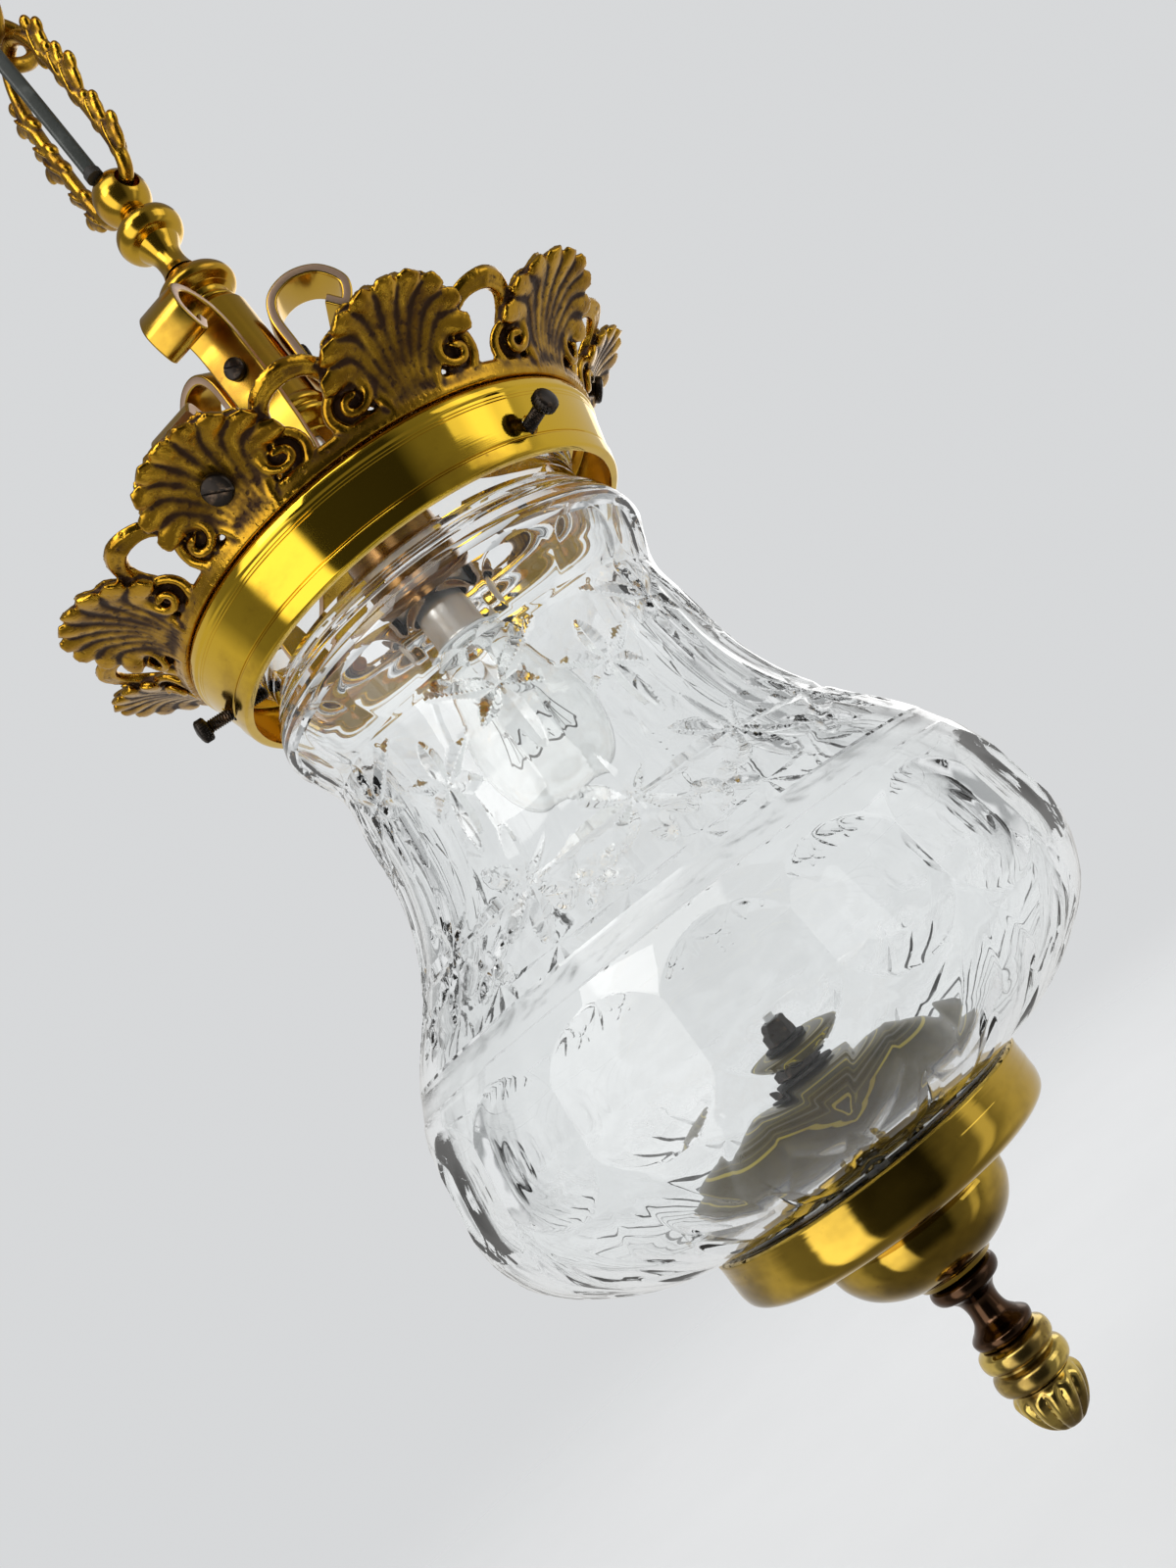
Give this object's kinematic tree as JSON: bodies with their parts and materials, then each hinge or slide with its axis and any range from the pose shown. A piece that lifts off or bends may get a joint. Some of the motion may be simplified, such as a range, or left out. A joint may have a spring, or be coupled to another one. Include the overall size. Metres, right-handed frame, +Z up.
{
  "type": "sanctuary lamp",
  "caption": "Hanging sanctuary lamp: a cut-glass lantern in a pierced brass gallery on strap arms, with a decorated chain link, ceiling rose, brass bottom cup and acorn finial.",
  "frame": {"origin": "middle of the ceiling plate's flat upper face, where the lamp is fixed to a ceiling", "axes": "+Z up along the lamp's own axis; -Y is the front, 17.5 degrees round from the nearest strap arm; the chain link's plane is 50 degrees clockwise from +X, seen from above"},
  "size_m": [0.1788, 0.1785, 0.5465],
  "materials": {
    "polished_brass": "polished, lightly tarnished, with fine turning lines",
    "cast_brass": "cast antique gilt, bright on the ridges and brown in the hollows",
    "bronze": "dark polished bronze",
    "black_steel": "blackened steel",
    "nickel": "dull nickel plate",
    "cut_glass": "clear cut and polished lead crystal",
    "bulb_glass": "thin clear glass",
    "cable_jacket": "satin dark grey flat twin cable",
    "rubber": "matt"
  },
  "bodies": {
    "ceiling_fitting": {"ceiling_plate": "polished_brass", "ceiling_rose": "polished_brass", "ceiling_hook": "cast_brass", "hook_nut": "nickel", "cable_upper": "cable_jacket"},
    "ring": {"hanging_ring": "cast_brass"},
    "link": {"chain_link": "cast_brass", "cable_middle": "cable_jacket"},
    "lantern": {"cable_lower": "cable_jacket", "stem_ball": "polished_brass", "stem_spool": "polished_brass", "stem_disc": "polished_brass", "hub_core": "polished_brass", "stem_tube": "nickel", "inner_flex": "cable_jacket", "arm_1": "polished_brass", "arm_2": "polished_brass", "arm_3": "polished_brass", "hub_screw_1": "black_steel", "hub_screw_2": "black_steel", "hub_screw_3": "black_steel", "gallery_screw_1": "black_steel", "gallery_screw_2": "black_steel", "gallery_screw_3": "black_steel", "gallery_crown": "cast_brass", "collar_ring": "polished_brass", "glass_shade": "cut_glass", "lampholder": "polished_brass", "clamp_dish": "polished_brass", "clamp_washer": "rubber", "clamp_nut": "black_steel", "tie_rod": "nickel", "glass_seat": "rubber", "bottom_cup": "polished_brass", "bottom_dome": "polished_brass"},
    "glass_screw_1": {"thumb_screw_1": "black_steel"},
    "glass_screw_2": {"thumb_screw_2": "black_steel"},
    "glass_screw_3": {"thumb_screw_3": "black_steel"},
    "bulb": {"bulb_cap": "nickel", "bulb_glass": "bulb_glass", "filament_mount": "nickel"},
    "finial": {"finial_spool": "bronze", "finial_beads": "polished_brass", "finial_acorn": "polished_brass"}
  },
  "joints": [
    {"name": "ring_swing", "type": "hinge", "parent": "ceiling_fitting", "child": "ring", "pos_m": [0, 0, -0.0625], "axis": [0.6428, -0.766, 0], "range_deg": [-30, 30], "deforming": ["cable_upper"]},
    {"name": "link_swing", "type": "hinge", "parent": "ring", "child": "link", "pos_m": [0, 0, -0.0752], "axis": [0.766, 0.6428, 0], "range_deg": [-30, 30], "deforming": ["cable_middle"]},
    {"name": "lantern_swing", "type": "hinge", "parent": "link", "child": "lantern", "pos_m": [0, 0, -0.132], "axis": [0.6428, -0.766, 0], "range_deg": [-30, 30], "deforming": ["cable_lower"]},
    {"name": "glass_screw_1_travel", "type": "slide", "parent": "lantern", "child": "glass_screw_1", "axis": [0.7071, -0.7071, 0], "range_m": [0, 0.006]},
    {"name": "glass_screw_2_travel", "type": "slide", "parent": "lantern", "child": "glass_screw_2", "axis": [0.2588, 0.9659, 0], "range_m": [0, 0.006]},
    {"name": "glass_screw_3_travel", "type": "slide", "parent": "lantern", "child": "glass_screw_3", "axis": [-0.9659, -0.2588, 0], "range_m": [0, 0.006]},
    {"name": "bulb_twist", "type": "hinge", "parent": "lantern", "child": "bulb", "pos_m": [0, 0, -0.285], "axis": [0, 0, 1], "range_deg": [0, 20]},
    {"name": "finial_turn", "type": "hinge", "parent": "lantern", "child": "finial", "pos_m": [0, 0, -0.51], "axis": [0, 0, 1], "continuous": true}
  ]
}
